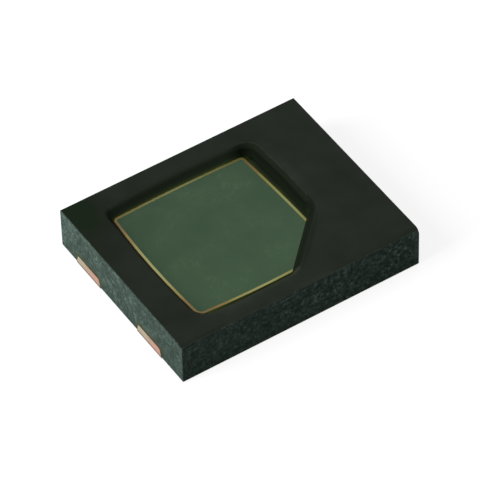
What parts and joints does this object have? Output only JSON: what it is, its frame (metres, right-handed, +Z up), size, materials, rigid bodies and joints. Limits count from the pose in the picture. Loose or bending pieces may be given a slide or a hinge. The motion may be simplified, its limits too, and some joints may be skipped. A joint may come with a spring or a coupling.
{
  "type": "surface-mount photodiode",
  "caption": "Flat black leadless photodiode package with an open window over a green-coated silicon chip and copper terminals flush with its sawn short sides.",
  "frame": {"origin": "under the middle of the package, on the plane of the solder lands", "axes": "+X along the package's length, from the cathode terminals to the anode terminals; +Z up, out of the window"},
  "size_m": [0.005, 0.004, 0.0009],
  "materials": {
    "black_epoxy": "moulded satin top, sawn sides",
    "leadframe_copper": "etched, sawn ends",
    "silver_adhesive": "cured paste",
    "silicon": "polished",
    "contact_metal": "thin film",
    "green_filter": "glossy coat",
    "gold_wire": "drawn"
  },
  "bodies": {
    "root": {"mould_body": "black_epoxy", "cathode_leadframe": "leadframe_copper", "anode_leadframe": "leadframe_copper", "bond_line": "silver_adhesive", "photodiode_chip": "silicon", "contact_ring": "contact_metal", "optical_filter": "green_filter", "bond_wire": "gold_wire"}
  },
  "joints": []
}
